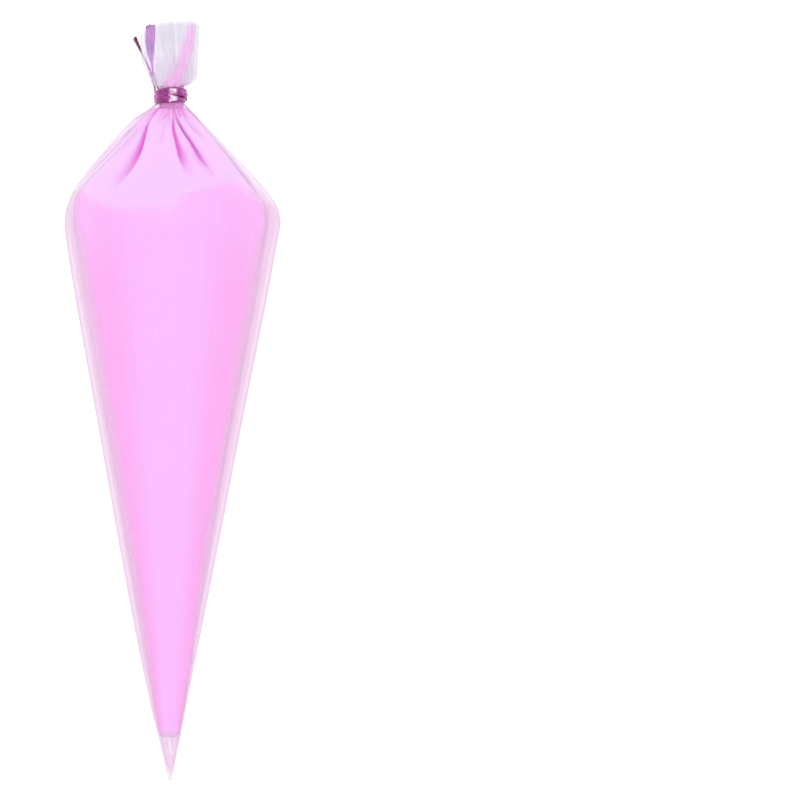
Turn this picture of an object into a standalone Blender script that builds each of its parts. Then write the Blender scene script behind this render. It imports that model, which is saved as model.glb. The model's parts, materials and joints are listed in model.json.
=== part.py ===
"""A filled disposable piping bag, laid on its side and closed by a foil twist tie.

Metres, +Z up. The bag lies along Y with its tip at -Y, and its flattened underside is on Z = 0.
"""

import math

import bmesh
import bpy
from mathutils import Quaternion, Vector

LENGTH = 0.290  # the tip to the top of the mouth
FILM = 0.0001  # one ply
GAP = 0.0003  # between pieces that touch
ROOM = 0.0005  # between the film and the icing
# distance from the tip, half-width over the side welds
OUTLINE = (
    (0.0, 0.0006),
    (0.024, 0.0059),
    (0.115, 0.0234),
    (0.206, 0.0401),
    (0.214, 0.0410),
    (0.2215, 0.0388),
    (0.229, 0.0336),
    (0.2405, 0.0238),
    (0.252, 0.0128),
    (0.2575, 0.0062),
)
RIM_LEAST, RIM_SHARE = 0.0006, 0.108  # the rim of film beyond the icing, as a share of the half-width
ROUNDNESS = 0.91  # height over width of the icing's section
SETTLED = 0.82  # how far up its own half-height the section's middle lies on the table
WIDEST = 0.214
PANEL_START, PANEL_END = 0.0196, 0.2569
ICING_START, ICING_END = 0.0202, 0.2520

TIP_END = 0.0178
TIP_HINGE = 0.0172
TIP_HEIGHT = 0.0020  # the empty tip's middle
TIP_WELD = 0.0006
TIP_CROWN = 0.0013

NECK_START, NECK_END = 0.2573, 0.2640
NECK_HEIGHT = 0.026
NECK_RADIUS, NECK_PLEAT = 0.0049, 0.00022

MOUTH_START = 0.2653
MOUTH_HINGE = 0.2668
MOUTH_LEFT = ((0.0, -0.0050), (0.25, -0.0076), (0.65, -0.0108), (1.0, -0.0120))
MOUTH_RIGHT = ((0.0, 0.0050), (0.2, 0.0086), (0.5, 0.0094), (1.0, 0.0103))
MOUTH_PLEAT = 0.0013
MOUTH_WELD = 0.0008

FOIL_WIDTH, FOIL_HALF = 0.0031, 0.00009  # the tie's width, and half its thickness
CORE, CHANNEL, SLEEVE = 0.00023, 0.00032, 0.00042  # radii of the wire, its channel and the foil on it
TURN_RADIUS = NECK_RADIUS + NECK_PLEAT + GAP + SLEEVE
TURN_LOWER, TURN_PITCH = 0.2593, 0.0032  # the lower turn's middle on top of the neck
TURN_FIRST, TURN_SWEEP = math.radians(-100), math.radians(610)  # from the top, clockwise seen from the tip

TWIST_START = Vector((-0.0060, 0.2650, -0.0056))  # from the neck's axis
TWIST_DIRECTION = Vector((-0.25, 0.92, -0.28)).normalized()
TWIST_LENGTH, TWIST_TURNS = 0.0060, 1.0
STRAND_OFFSET = 0.00047
TAIL_GAP = 0.0005
TAILS = {
    "left": {"side": -1, "splay": 10, "length": 0.0150, "turned": 15},
    "right": {"side": 1, "splay": 11, "length": 0.0185, "turned": 75},
}


def smooth(points, at):
    """A smooth curve through (position, value) points."""
    last = len(points) - 1
    k = min(max(sum(at > p[0] for p in points) - 1, 0), last - 1)

    def slope(i):
        low, high = points[max(i - 1, 0)], points[min(i + 1, last)]
        return (high[1] - low[1]) / (high[0] - low[0])

    (a, first), (b, second) = points[k], points[k + 1]
    t, span = (at - a) / (b - a), b - a
    return (
        first * (1 + 2 * t) * (1 - t) ** 2
        + second * t * t * (3 - 2 * t)
        + slope(k) * span * t * (1 - t) ** 2
        - slope(k + 1) * span * t * t * (1 - t)
    )


def along(start, end, count):
    return [start + (end - start) * i / (count - 1) for i in range(count)]


def place(x, s, z):
    """A point from its distance along the bag."""
    return Vector((x, s - LENGTH / 2, z))


def section(s):
    """The film's half-width over the welds, and the filled part's half-width, half-height and middle."""
    wide = smooth(OUTLINE, s)
    filled = wide - RIM_LEAST - RIM_SHARE * wide
    tall = ROUNDNESS * filled
    middle = SETTLED * tall
    if s > WIDEST:
        rest = SETTLED * section(WIDEST)[2]
        middle = rest + (NECK_HEIGHT - rest) * (s - WIDEST) / (NECK_START - WIDEST)
    return wide, filled, tall, middle


def weld_width(s):
    wide, filled, _, _ = section(s)
    return max(0.0009, 0.4 * (wide - filled))


def material(name, colour, roughness, metallic=0.0, alpha=1.0):
    made = bpy.data.materials.new(name)
    made.use_nodes = True
    shader = made.node_tree.nodes["Principled BSDF"]
    shader.inputs["Base Color"].default_value = (*colour, 1.0)
    shader.inputs["Roughness"].default_value = roughness
    shader.inputs["Metallic"].default_value = metallic
    shader.inputs["Alpha"].default_value = alpha
    return made


def finish(name, bm, look):
    """Turns a bmesh into a named object with its own material."""
    bmesh.ops.remove_doubles(bm, verts=bm.verts, dist=1e-7)
    bmesh.ops.recalc_face_normals(bm, faces=bm.faces)
    mesh = bpy.data.meshes.new(name)
    bm.to_mesh(mesh)
    bm.free()
    mesh.shade_smooth()
    mesh.set_sharp_from_angle(angle=math.radians(40))
    made = bpy.data.objects.new(name, mesh)
    made.data.materials.append(material(name, **look))
    bpy.context.scene.collection.objects.link(made)
    return made


def grid_faces(rows):
    for low, high in zip(rows, rows[1:]):
        for k in range(len(low) - 1):
            yield low[k], low[k + 1], high[k + 1], high[k]


def sheet(name, outer, inner, look):
    """A thin wall between two grids of points, closed round its edge."""
    bm = bmesh.new()
    out = [[bm.verts.new(p) for p in row] for row in outer]
    into = [[bm.verts.new(p) for p in row] for row in inner]
    strips = [
        (out[0], into[0]),
        (out[-1], into[-1]),
        ([row[0] for row in out], [row[0] for row in into]),
        ([row[-1] for row in out], [row[-1] for row in into]),
    ]
    for rows in (out, into, *strips):
        for corners in grid_faces(rows):
            bm.faces.new(corners)
    return finish(name, bm, look)


def loft(name, rings, look):
    """A solid through closed rings of points, capped at both ends."""
    bm = bmesh.new()
    rows = [[bm.verts.new(p) for p in ring] for ring in rings]
    for corners in grid_faces([[*row, row[0]] for row in rows]):
        bm.faces.new(corners)
    bm.faces.new(rows[0])
    bm.faces.new(rows[-1])
    return finish(name, bm, look)


def inset(points, depth, towards):
    """An open line in a plane across Y, moved depth sideways, to the side where towards is."""
    moved = []
    for i, p in enumerate(points):
        run = points[min(i + 1, len(points) - 1)] - points[max(i - 1, 0)]
        side = Vector((-run.z, 0, run.x)).normalized()
        moved.append(p + side * (depth if side.dot(towards - p) > 0 else -depth))
    return moved


def panel_line(s, up):
    """One ply's outer line across the bag: weld, round the icing, weld."""
    wide, filled, tall, middle = section(s)
    edge = wide - weld_width(s)
    tangent = math.acos(filled / edge)
    height = middle + up * 0.5 * GAP + up * FILM
    line = [place(edge, s, height)]
    for angle in along(tangent, math.pi - tangent, 17):
        z = middle + up * (0.5 * GAP + FILM + tall * math.sin(angle))
        line.append(place(filled * math.cos(angle), s, max(z, 0)))
    line.append(place(-edge, s, height))
    return line


def bag_stations():
    return along(PANEL_START, 0.200, 8) + along(0.207, 0.252, 11) + [PANEL_END]


def bag_panel(name, up, look):
    outer, inner = [], []
    for s in bag_stations():
        line = panel_line(s, up)
        outer.append(line)
        inner.append(inset(line, FILM, place(0, s, section(s)[3])))
    return sheet(name, outer, inner, look)


def side_weld(name, side, look):
    """The flat strip where the two plies are welded, along one side of the bag."""
    rings = []
    for s in bag_stations():
        wide, _, _, middle = section(s)
        low, high = wide - weld_width(s) + GAP, wide
        rings.append(
            [
                place(side * x, s, middle + dz)
                for x, dz in ((low, -FILM), (high, -FILM), (high, FILM), (low, FILM))
            ]
        )
    return loft(name, rings, look)


def icing(look):
    rings = []
    for s in along(ICING_START, 0.200, 8) + along(0.207, ICING_END, 10):
        _, filled, tall, middle = section(s)
        ring = []
        for k in range(28):
            angle = 2 * math.pi * k / 28
            z = middle + (tall - ROOM) * math.sin(angle)
            ring.append(place((filled - ROOM) * math.cos(angle), s, max(z, FILM + ROOM)))
        rings.append(ring)
    return loft("icing_fill", rings, look)


def tip_ply(name, up, look):
    """One ply of the empty tip, nearly flat."""
    outer, inner = [], []
    for s in along(0.0040, TIP_END, 6):
        edge = section(s)[0] - TIP_WELD - GAP
        crown = TIP_CROWN * min(s / TIP_END, 1)
        line = [
            place(edge * x, s, TIP_HEIGHT + up * (0.5 * GAP + FILM + crown * (1 - x * x)))
            for x in along(-1, 1, 9)
        ]
        outer.append(line)
        inner.append([p - Vector((0, 0, up * FILM)) for p in line])
    return sheet(name, outer, inner, look)


def tip_weld(look):
    """The welded edge round the empty tip: two strips that meet in the point."""
    rows = []
    for s in along(TIP_END, 0.0037, 7):
        wide = section(s)[0]
        rows.append((s, wide - TIP_WELD, wide))
    right = [(outer, s) for s, _, outer in rows] + [(OUTLINE[0][1], 0.0)]
    inside = [(inner, s) for s, inner, _ in rows]
    outline = right + [(-x, s) for x, s in reversed(right)] + [(-x, s) for x, s in inside]
    outline += [(x, s) for x, s in reversed(inside)]
    rings = [[place(x, s, TIP_HEIGHT + dz) for x, s in outline] for dz in (-FILM, FILM)]
    return loft("tip_weld", rings, look)


def neck_half(name, up, look):
    """Half of the gathered film inside the tie, with its pleats."""
    rings = []
    for s in along(NECK_START, NECK_END, 3):
        ring = []
        for angle in along(0.03 * math.pi, 0.97 * math.pi, 21):
            radius = NECK_RADIUS + NECK_PLEAT * math.cos(20 * angle)
            z = NECK_HEIGHT + up * radius * math.sin(angle)
            ring.append(place(radius * math.cos(angle), s, z))
        rings.append(ring)
    return loft(name, rings, look)


def mouth_top(x):
    """The slanting top edge of the mouth, lower at its left corner."""
    return LENGTH - 0.0060 * max(0.0, (-0.002 - x) / 0.010) ** 1.5


def mouth_point(f, across, offset):
    left, right = smooth(MOUTH_LEFT, f), smooth(MOUTH_RIGHT, f)
    x = left + (right - left) * across
    pleat = MOUTH_PLEAT * (0.7 + 0.3 * f) * math.sin(3 * math.pi * across + 0.4)
    s = MOUTH_START + (mouth_top(x) - MOUTH_START) * f
    return place(x, s, NECK_HEIGHT + offset + pleat * math.sin(math.pi * across) ** 0.5)


def mouth_ply(name, up, look):
    """One ply of the pleated film above the tie."""
    outer, inner = [], []
    for f in along(0, 1, 7):
        spread = 0.5 * GAP * (1 + f)
        across = along(0, 1, 19)
        outer.append([mouth_point(f, x, up * (spread + FILM)) for x in across])
        inner.append([mouth_point(f, x, up * spread) for x in across])
    return sheet(name, outer, inner, look)


def mouth_weld(name, side, look):
    rings = []
    for f in along(0, 1, 7):
        edge = mouth_point(f, 0 if side < 0 else 1, 0)
        low, high = edge.x + side * GAP, edge.x + side * (GAP + MOUTH_WELD)
        rings.append(
            [
                Vector((x, edge.y, edge.z + dz))
                for x, dz in ((low, -FILM), (high, -FILM), (high, FILM), (low, FILM))
            ]
        )
    return loft(name, rings, look)


def foil_section():
    """The tie's section: foil folded round a wire, with an open seam at the back."""
    half, seam = FOIL_WIDTH / 2, 0.00003
    bulge = [(0.0, SLEEVE), (0.7, 0.72), (1.07, 0.0)]
    right = [(seam, -SLEEVE), (0.7 * SLEEVE, -0.72 * SLEEVE), (bulge[2][0] * SLEEVE, -FOIL_HALF)]
    right += [(half, -FOIL_HALF), (half, FOIL_HALF), (bulge[2][0] * SLEEVE, FOIL_HALF)]
    right += [(0.7 * SLEEVE, 0.72 * SLEEVE)]
    outer = right + [(0.0, SLEEVE)] + [(-u, v) for u, v in reversed(right)]
    channel = [(CHANNEL * math.sin(a), -CHANNEL * math.cos(a)) for a in along(0.0, 2 * math.pi, 9)]
    channel[0], channel[-1] = (seam, -CHANNEL), (-seam, -CHANNEL)
    return outer + channel[::-1]


def foil(name, path, look):
    """path holds (point, direction of the width, direction of the face)."""
    shape = foil_section()
    return loft(name, [[p + w * u + n * v for u, v in shape] for p, w, n in path], look)


def wire(name, path, look):
    curve = bpy.data.curves.new(name, "CURVE")
    curve.dimensions = "3D"
    curve.bevel_depth, curve.bevel_resolution, curve.use_fill_caps = CORE, 1, True
    spline = curve.splines.new("POLY")
    spline.points.add(len(path) - 1)
    for point, (p, _, _) in zip(spline.points, path):
        point.co = (*p, 1)
    made = bpy.data.objects.new(name, curve)
    made.data.materials.append(material(name, **look))
    bpy.context.scene.collection.objects.link(made)
    return made


def band_path():
    """Two turns round the neck."""
    path = []
    for f in along(0, 1, 37):
        angle = TURN_FIRST + TURN_SWEEP * f
        out = Vector((math.sin(angle), 0, math.cos(angle)))
        s = TURN_LOWER + TURN_PITCH * angle / (2 * math.pi)
        path.append((place(0, s, NECK_HEIGHT) + out * TURN_RADIUS, Vector((0, 1, 0)), out))
    return path


def twist_frame():
    """The twist's start, its axis, and the directions of its width and face at its outer end."""
    start = place(TWIST_START.x, TWIST_START.y, NECK_HEIGHT + TWIST_START.z)
    face = Vector((1, 0, 0))
    face = (face - face.project(TWIST_DIRECTION)).normalized()
    return start, TWIST_DIRECTION, face.cross(TWIST_DIRECTION).normalized(), face


def strand_path(side):
    """One of the two ends that are twisted together."""
    start, axis, width, face = twist_frame()
    path = []
    for f in along(0, 1, 21):
        turn = Quaternion(axis, 2 * math.pi * TWIST_TURNS * (f - 1))
        n, w = turn @ face, turn @ width
        path.append((start + axis * TWIST_LENGTH * f + n * side * STRAND_OFFSET, w, n * side))
    return path


def tail_root(side):
    start, axis, _, face = twist_frame()
    return start + axis * (TWIST_LENGTH + TAIL_GAP) + face * side * STRAND_OFFSET


def tail_path(side, splay, length, turned):
    _, axis, width, face = twist_frame()
    aside = Quaternion(width, math.radians(-splay) * side)
    run, across = aside @ axis, aside @ face
    root, path = tail_root(side), []
    for f in along(0, 1, 7):
        turn = Quaternion(run, math.radians(turned) * f)
        path.append((root + run * length * f, turn @ width, turn @ across * side))
    return path


def pivot(name, at):
    made = bpy.data.objects.new(name, None)
    made.empty_display_size = 0.005
    made.location = at
    bpy.context.scene.collection.objects.link(made)
    return made


def hang(pieces, joint, parent=None):
    """Puts the pieces under a joint's empty, where they are."""
    for piece in pieces:
        piece.parent = joint
        piece.location = -joint.location
    if parent:
        joint.parent = parent
        joint.location -= parent.location


FILM_LOOK = {"colour": (0.93, 0.86, 0.93), "roughness": 0.18, "alpha": 0.45}
WELD_LOOK = {"colour": (0.86, 0.80, 0.87), "roughness": 0.25, "alpha": 0.75}
ICING_LOOK = {"colour": (0.95, 0.50, 0.93), "roughness": 0.45}
FOIL_LOOK = {"colour": (0.42, 0.06, 0.32), "roughness": 0.22, "metallic": 0.9}
WIRE_LOOK = {"colour": (0.45, 0.44, 0.43), "roughness": 0.4, "metallic": 1.0}


def build_bag():
    bag_panel("film_front", 1, FILM_LOOK)
    bag_panel("film_back", -1, FILM_LOOK)
    side_weld("side_weld_left", -1, WELD_LOOK)
    side_weld("side_weld_right", 1, WELD_LOOK)
    icing(ICING_LOOK)
    neck_half("neck_gather_front", 1, FILM_LOOK)
    neck_half("neck_gather_back", -1, FILM_LOOK)


def build_tip():
    pieces = [tip_ply("tip_film_front", 1, FILM_LOOK), tip_ply("tip_film_back", -1, FILM_LOOK)]
    pieces.append(tip_weld(WELD_LOOK))
    hang(pieces, pivot("tip_joint", place(0, TIP_HINGE, TIP_HEIGHT)))


def build_mouth():
    pieces = [mouth_ply("mouth_film_front", 1, FILM_LOOK), mouth_ply("mouth_film_back", -1, FILM_LOOK)]
    for side, word in ((-1, "left"), (1, "right")):
        pieces.append(mouth_weld(f"mouth_weld_{word}", side, WELD_LOOK))
    hang(pieces, pivot("mouth_joint", place(0, MOUTH_HINGE, NECK_HEIGHT)))


def build_tie():
    turn = pivot("tie_joint", place(0, TURN_LOWER, NECK_HEIGHT))
    twist = pivot("twist_joint", twist_frame()[0])
    tails = {}
    for word, tail in TAILS.items():
        path = tail_path(**tail)
        pieces = [foil(f"tail_{word}_foil", path, FOIL_LOOK), wire(f"tail_{word}_wire", path, WIRE_LOOK)]
        tails[word] = (pieces, pivot(f"tail_{word}_joint", tail_root(tail["side"])))
    strands = []
    for side, word in ((-1, "left"), (1, "right")):
        path = strand_path(side)
        strands.append(foil(f"twist_{word}_foil", path, FOIL_LOOK))
        strands.append(wire(f"twist_{word}_wire", path, WIRE_LOOK))
    band = [foil("tie_band_foil", band_path(), FOIL_LOOK), wire("tie_band_wire", band_path(), WIRE_LOOK)]
    for pieces, joint in tails.values():
        hang(pieces, joint, twist)
    hang(strands, twist, turn)
    hang(band, turn)


for old in list(bpy.data.objects):
    bpy.data.objects.remove(old)
build_bag()
build_tip()
build_mouth()
build_tie()
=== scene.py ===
import json
import math

import bpy
import numpy as np
from mathutils import Matrix, Quaternion, Vector


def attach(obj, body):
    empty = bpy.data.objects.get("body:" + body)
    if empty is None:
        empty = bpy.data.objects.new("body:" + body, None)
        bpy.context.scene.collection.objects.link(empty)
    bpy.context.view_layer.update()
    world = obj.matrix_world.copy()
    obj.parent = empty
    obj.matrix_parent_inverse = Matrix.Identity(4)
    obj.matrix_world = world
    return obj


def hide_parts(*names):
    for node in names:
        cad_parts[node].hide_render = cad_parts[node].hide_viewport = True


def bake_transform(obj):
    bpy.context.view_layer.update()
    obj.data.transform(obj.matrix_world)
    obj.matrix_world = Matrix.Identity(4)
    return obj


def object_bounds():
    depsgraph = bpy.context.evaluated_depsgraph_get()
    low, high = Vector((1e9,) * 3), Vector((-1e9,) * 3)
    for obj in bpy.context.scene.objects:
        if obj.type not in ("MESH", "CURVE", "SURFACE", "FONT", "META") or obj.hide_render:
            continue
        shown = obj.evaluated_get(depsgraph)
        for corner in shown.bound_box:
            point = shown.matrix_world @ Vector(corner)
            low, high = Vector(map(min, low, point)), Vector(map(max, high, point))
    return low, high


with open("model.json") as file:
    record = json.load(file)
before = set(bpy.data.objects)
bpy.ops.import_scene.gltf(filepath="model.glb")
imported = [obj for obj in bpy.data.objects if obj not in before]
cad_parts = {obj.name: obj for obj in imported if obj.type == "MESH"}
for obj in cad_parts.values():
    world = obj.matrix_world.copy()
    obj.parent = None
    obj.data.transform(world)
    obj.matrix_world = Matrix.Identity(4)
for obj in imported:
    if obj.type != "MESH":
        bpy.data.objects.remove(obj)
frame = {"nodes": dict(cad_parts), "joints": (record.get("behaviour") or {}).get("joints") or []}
cadBox = [list(corner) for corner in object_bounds()]
joints = {joint["name"]: joint for joint in frame["joints"]}
# shapes are worked out in millimetres, with s measured along the bag from its tip
mm = 0.001
tipY = cadBox[0][1]
neckZ = joints["mouth_fold"]["pos_m"][2] / mm
print("frame loaded")

# metres, and the sensor in millimetres; the camera looks straight down
view = {"across": 0.304, "centre": (0.0870, 0.0005), "height": 6.0, "focusZ": 0.027,
        "sensor": 36, "farthest": 50}


def placeCamera():
    where = (*view["centre"], view["height"] + view["focusZ"])
    bpy.ops.object.camera_add(location=where, rotation=(0, 0, 0))
    camera = bpy.context.object
    camera.name = "overheadCamera"
    camera.data.sensor_width = view["sensor"]
    camera.data.lens = view["sensor"] * view["height"] / view["across"]
    camera.data.clip_end = view["farthest"]
    bpy.context.scene.camera = camera
    print("camera placed")


def fade(low, high, at):  # 0 up to low, 1 from high on, and a soft step between
    t = np.clip((at - low) / (high - low), 0, 1)
    return t * t * (3 - 2 * t)


def curveThrough(points, at, column=1):  # a smooth line through rows of (position, value, ...)
    table = np.array(points, float)
    x, y = table[:, 0], table[:, column]
    order = np.arange(len(x))
    low, high = np.maximum(order - 1, 0), np.minimum(order + 1, len(x) - 1)
    slope = (y[high] - y[low]) / (x[high] - x[low])
    at = np.asarray(at, float)
    k = np.clip(np.searchsorted(x, at, side="right") - 1, 0, len(x) - 2)
    span = x[k + 1] - x[k]
    t = (at - x[k]) / span
    return (
        y[k] * (1 + 2 * t) * (1 - t) ** 2
        + y[k + 1] * t * t * (3 - 2 * t)
        + slope[k] * span * t * (1 - t) ** 2
        - slope[k + 1] * span * t * t * (1 - t)
    )


def straightThrough(points, at, column=1):  # the same with straight lines
    table = np.array(points, float)
    return np.interp(at, table[:, 0], table[:, column])


def addGrid(name, across, along):  # a flat grid whose own x and y become the two ways over a surface
    bpy.ops.mesh.primitive_grid_add(x_subdivisions=across, y_subdivisions=along, size=2)
    piece = bpy.context.object
    piece.name = piece.data.name = name
    spots = np.empty(len(piece.data.vertices) * 3)
    piece.data.vertices.foreach_get("co", spots)
    spots = spots.reshape(-1, 3)
    return piece, (spots[:, 0] + 1) / 2, (spots[:, 1] + 1) / 2


def shapeGrid(piece, x, s, z):  # puts the grid's points where they belong
    spots = np.stack([x * mm, s * mm + tipY, z * mm], axis=1)
    piece.data.vertices.foreach_set("co", spots.ravel())
    piece.data.update()


def paint(piece, name, values):  # a mask for the material to read
    layer = piece.data.attributes.new(name, "FLOAT", "POINT")
    layer.data.foreach_set("value", np.asarray(values, np.float32))


def editAll(piece, *steps):
    bpy.ops.object.select_all(action="DESELECT")
    piece.select_set(True)
    bpy.context.view_layer.objects.active = piece
    bpy.ops.object.mode_set(mode="EDIT")
    bpy.ops.mesh.select_all(action="SELECT")
    for step in steps:
        step()
    bpy.ops.mesh.select_all(action="DESELECT")
    bpy.ops.object.mode_set(mode="OBJECT")


def closeUp(piece):  # joins the edges that meet, and turns the faces outwards
    editAll(
        piece,
        lambda: bpy.ops.mesh.remove_doubles(threshold=1e-6),
        lambda: bpy.ops.mesh.normals_make_consistent(inside=False),
    )


def volumeOf(piece):
    piece.data.calc_loop_triangles()
    spots = piece.data.vertices
    corners = np.array([[spots[i].co for i in face.vertices] for face in piece.data.loop_triangles])
    return np.einsum("ij,ij->i", corners[:, 0], np.cross(corners[:, 1], corners[:, 2])).sum() / 6


def thicken(piece, thickness, offset):  # turns one sheet into a closed wall
    bpy.context.view_layer.objects.active = piece
    wall = piece.modifiers.new("wall", "SOLIDIFY")
    wall.thickness, wall.offset = thickness, offset
    bpy.ops.object.modifier_apply(modifier=wall.name)
    if volumeOf(piece) < 0:
        editAll(piece, bpy.ops.mesh.flip_normals)


def finishPiece(piece, look, smoothAngle=60):
    piece.data.materials.clear()
    piece.data.materials.append(look)
    bpy.ops.object.select_all(action="DESELECT")
    piece.select_set(True)
    bpy.context.view_layer.objects.active = piece
    bpy.ops.object.shade_smooth_by_angle(angle=math.radians(smoothAngle))
    piece.select_set(False)


def marks(lines, x, s):  # how strongly soft-edged strokes, rows of (s, x, half-width), show at each point
    shown = np.zeros_like(s)
    for stroke in lines:
        line = stroke["line"]
        first, last = line[0][0], line[-1][0]
        at = np.clip(s, first, last)
        gap = (x - curveThrough(line, at)) / np.maximum(straightThrough(line, at, 2), 0.05)
        lower, upper = stroke.get("ends", (2.0, 2.0))
        ends = fade(first - 0.1, first + lower, s) * (1 - fade(last - upper, last + 0.1, s))
        shown = np.maximum(shown, stroke["strength"] * ends * np.exp(-np.abs(gap) ** 2.2))
    return shown


# rows of (s, millimetres): half the width, the middle's lean to +x, and the empty rims beside the icing
bag = {
    "outline": [(0, 0.65), (3, 1.3), (9, 2.5), (16.3, 4.15), (31.5, 7.4), (62, 13.5), (85, 17.9),
                (107.5, 22.1), (138, 27.7), (183, 36.2), (206, 40.1), (214, 41.0), (221.5, 38.8),
                (229, 33.6), (240.5, 23.8), (252, 12.8), (257.2, 6.2), (258.4, 5.0), (260.5, 4.7),
                (266, 4.6)],
    "lean": [(0, -0.7), (16, -1.0), (31, -1.35), (62, -1.35), (107, -0.9), (138, -0.6), (183, 0), (206, 0.3),
             (214, 0.6), (221.5, 0.1), (229, -0.9), (240.5, -1.6), (252, -1.8), (258, -0.3), (262, 0),
             (270, 0)],
    "rimLeft": [(0, 0.3), (18, 0.5), (32, 1.0), (62, 2.0), (107, 2.6), (183, 3.0), (206, 3.3), (214, 3.1),
                (222, 1.7), (229, 1.4), (236, 2.1), (242, 2.5), (249, 2.0), (254, 0.8), (257.5, 0.1),
                (266, 0.1)],
    "rimRight": [(0, 0.3), (18, 0.3), (32, 0.45), (62, 1.3), (107, 2.8), (183, 3.6), (206, 4.2), (214, 4.0),
                 (221, 3.2), (228, 3.0), (234, 2.4), (240, 1.3), (246, 0.7), (257, 0.1), (266, 0.1)],
    "roundness": 0.885,  # half-height for each unit of half-width
    "settled": 0.82,  # how high the middle lies for each unit of half-height
    "widest": 214.0,
    "neckStart": 257.3,
    "filmEnd": 263.2,
    "filmRoom": 0.30,  # between the icing and the film's inside
    "ply": 0.09,
    "tipTall": 1.5,
    "tipMiddle": 2.0,
    "tipEmpty": (12.5, 20),  # the empty tip's section up to the first s, the filled one from the second
    "tipFull": 16,
    "bend": (19.5, 15.5),  # where the tip would start to follow its joint, and where it would follow fully
}
# folds in the front of the shoulder: rows of (s, x, half-width of the soft side); dark is how strong the
# painted shade in the fold is
frontFolds = [
    {"line": [(223.5, -21.2, 1.6), (229.1, -17.9, 1.9), (232.9, -15.2, 1.9), (237.9, -12.5, 1.6),
              (242.1, -11.0, 1.1), (246.6, -9.9, 0.7), (250.4, -8.9, 0.5), (257, -4.0, 0.4)],
     "soft": -1, "depth": 1.7, "dark": 1.15},
    {"line": [(228.5, 8.0, 1.9), (232.9, 5.3, 2.2), (236.7, 3.8, 1.9), (239.8, 3.0, 1.5), (243.6, 2.1, 0.8),
              (248.1, 1.1, 0.5), (257, 0.9, 0.35)],
     "soft": 1, "depth": 1.4, "dark": 1.1},
    {"line": [(228.5, 18.6, 1.5), (232.9, 15.4, 1.9), (236, 13.4, 1.9), (239.4, 11.1, 1.3), (243.2, 8.5, 0.8),
              (247.4, 5.3, 0.5), (251.9, 2.7, 0.45), (257, 1.2, 0.3)],
     "soft": -1, "depth": 2.2, "dark": 1.15},
    {"line": [(240, -4.4, 0.9), (248, -2.9, 0.6), (257, -1.6, 0.3)], "soft": 1, "depth": 0.5, "dark": 0.2},
    {"line": [(243, 14.0, 0.9), (250, 7.6, 0.6), (257, 3.2, 0.3)], "soft": 1, "depth": 0.6, "dark": 0.3},
    {"line": [(236, -22.0, 1.2), (246, -13.6, 0.8), (257, -5.0, 0.4)], "soft": -1, "depth": 0.7,
     "dark": 0.15},
]
backFolds = [  # the same for the side that lies down
    {"line": [(226, -12, 2.0), (240, -8, 1.2), (257, -2.6, 0.4)], "soft": -1, "depth": 2.2, "dark": 0.8},
    {"line": [(222, 6, 2.1), (238, 3, 1.4), (257, 0.8, 0.4)], "soft": 1, "depth": 1.9, "dark": 0.7},
    {"line": [(228, 21, 1.8), (243, 13, 1.0), (257, 4, 0.4)], "soft": -1, "depth": 2.1, "dark": 0.8},
    {"line": [(232, -25, 1.5), (246, -13, 0.9), (257, -4.4, 0.4)], "soft": 1, "depth": 1.6, "dark": 0.5},
]
finLines = [  # where the film's double edge folds over the shoulder
    {"line": [(224.5, -36.2, 0.3), (229.1, -32.9, 0.35), (234.8, -27.2, 0.35), (239, -23.2, 0.3),
              (243.2, -19, 0.3), (249.5, -13.2, 0.25)], "strength": 0.55, "ends": (6, 3)},
    {"line": [(221.5, 35.6, 0.4), (226.1, 31.7, 0.32), (229.2, 29.3, 0.28), (233.3, 25.9, 0.25),
              (237.3, 22.8, 0.22), (240.4, 20.1, 0.2), (244, 17.3, 0.18)], "strength": 0.7, "ends": (8, 2)},
    {"line": [(223.1, 36.9, 0.3), (228.9, 32.2, 0.3), (231.9, 29.6, 0.3), (236, 26.1, 0.25),
              (238, 24.4, 0.2)], "strength": 0.5, "ends": (5, 1)},
]
neckLines = [  # short creases just under the tie, drawn only as painted shade
    {"line": [(252.9, -7.6, 0.3), (254.6, -6.2, 0.5), (256.3, -4.6, 0.4), (257.6, -2.2, 0.3)],
     "strength": 0.8, "ends": (1, 0.6)},
    {"line": [(251.4, -3.6, 0.4), (253.6, -1.8, 0.5), (254.6, 0.4, 0.4)], "strength": 0.6, "ends": (1, 0.6)},
    {"line": [(252.4, 3.9, 0.4), (255.5, 3.0, 0.5), (258, 1.9, 0.3)], "strength": 0.9, "ends": (1, 1)},
]
highlightLines = [  # painted highlights: bright streaks beside the folded edge, and in the tip
    {"line": [(224.5, -35.0, 0.5), (229.1, -31.9, 0.5), (234.8, -26.2, 0.5), (239, -22.2, 0.45),
              (243.2, -18, 0.4), (249.5, -12.2, 0.4)], "strength": 0.8, "ends": (6, 3)},
    {"line": [(243, -22.0, 0.7), (249, -15.6, 0.7), (253.5, -10.6, 0.6), (257, -6.4, 0.5)],
     "strength": 0.75, "ends": (5, 1)},
    {"line": [(224, 33.9, 0.5), (229.2, 30.8, 0.6), (233.3, 27.3, 0.5), (238, 23.6, 0.4)],
     "strength": 0.4, "ends": (5, 2)},
    {"line": [(9.5, -0.7, 0.25), (13, -0.8, 0.4), (17.5, -0.9, 0.45)], "strength": 0.9, "ends": (2, 1)},
]
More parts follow.
